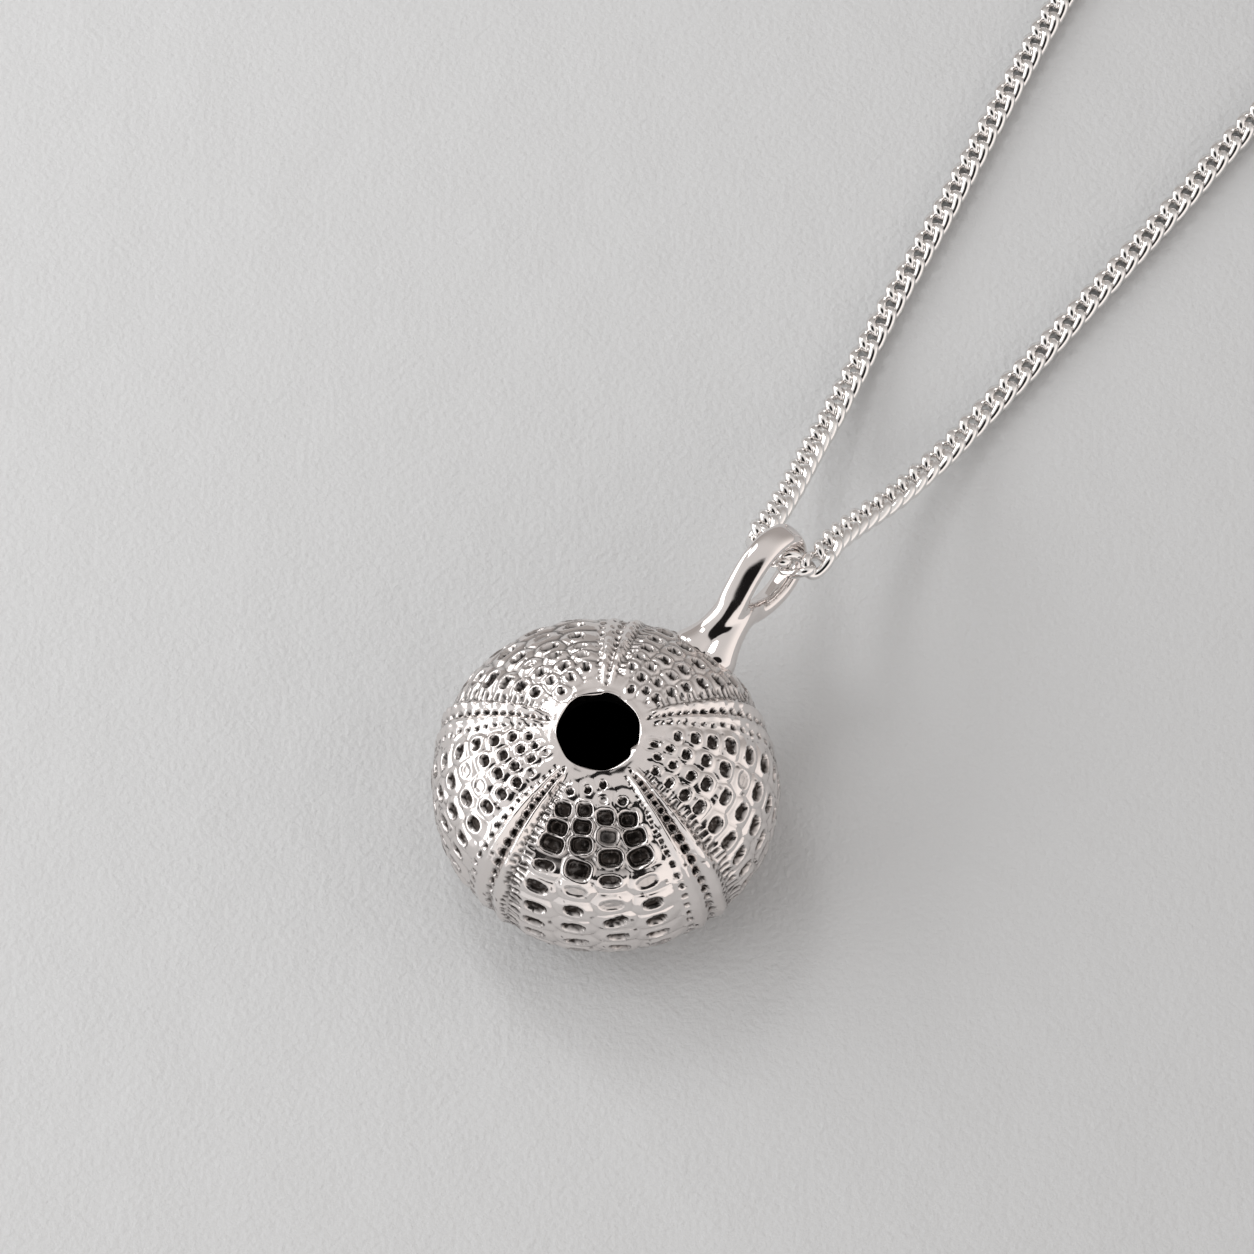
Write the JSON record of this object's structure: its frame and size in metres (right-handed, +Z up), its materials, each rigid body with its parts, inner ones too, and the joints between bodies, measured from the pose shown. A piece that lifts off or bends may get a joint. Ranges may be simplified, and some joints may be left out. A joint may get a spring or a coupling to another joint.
{
  "type": "sea urchin shell pendant necklace",
  "caption": "Silver pendant cast in the shape of a hollow sea urchin shell with a round opening on top, hung by a bail on a fine curb chain with a hook clasp.",
  "frame": {"origin": "centre of the flat spot that the shell rests on", "axes": "+Z up through the shell's opening, +Y away from the viewer towards the chain's coil, +X to the viewer's right"},
  "size_m": [0.0835, 0.1056, 0.0144],
  "materials": {
    "silver": "polished silver",
    "darkened_silver": "polished silver with darkened recesses"
  },
  "bodies": {
    "root": {"urchin_shell": "darkened_silver", "bail": "silver", "chain_run": "silver", "chain_coil": "silver", "clasp_hook": "silver", "clasp_eye": "silver"}
  },
  "joints": []
}
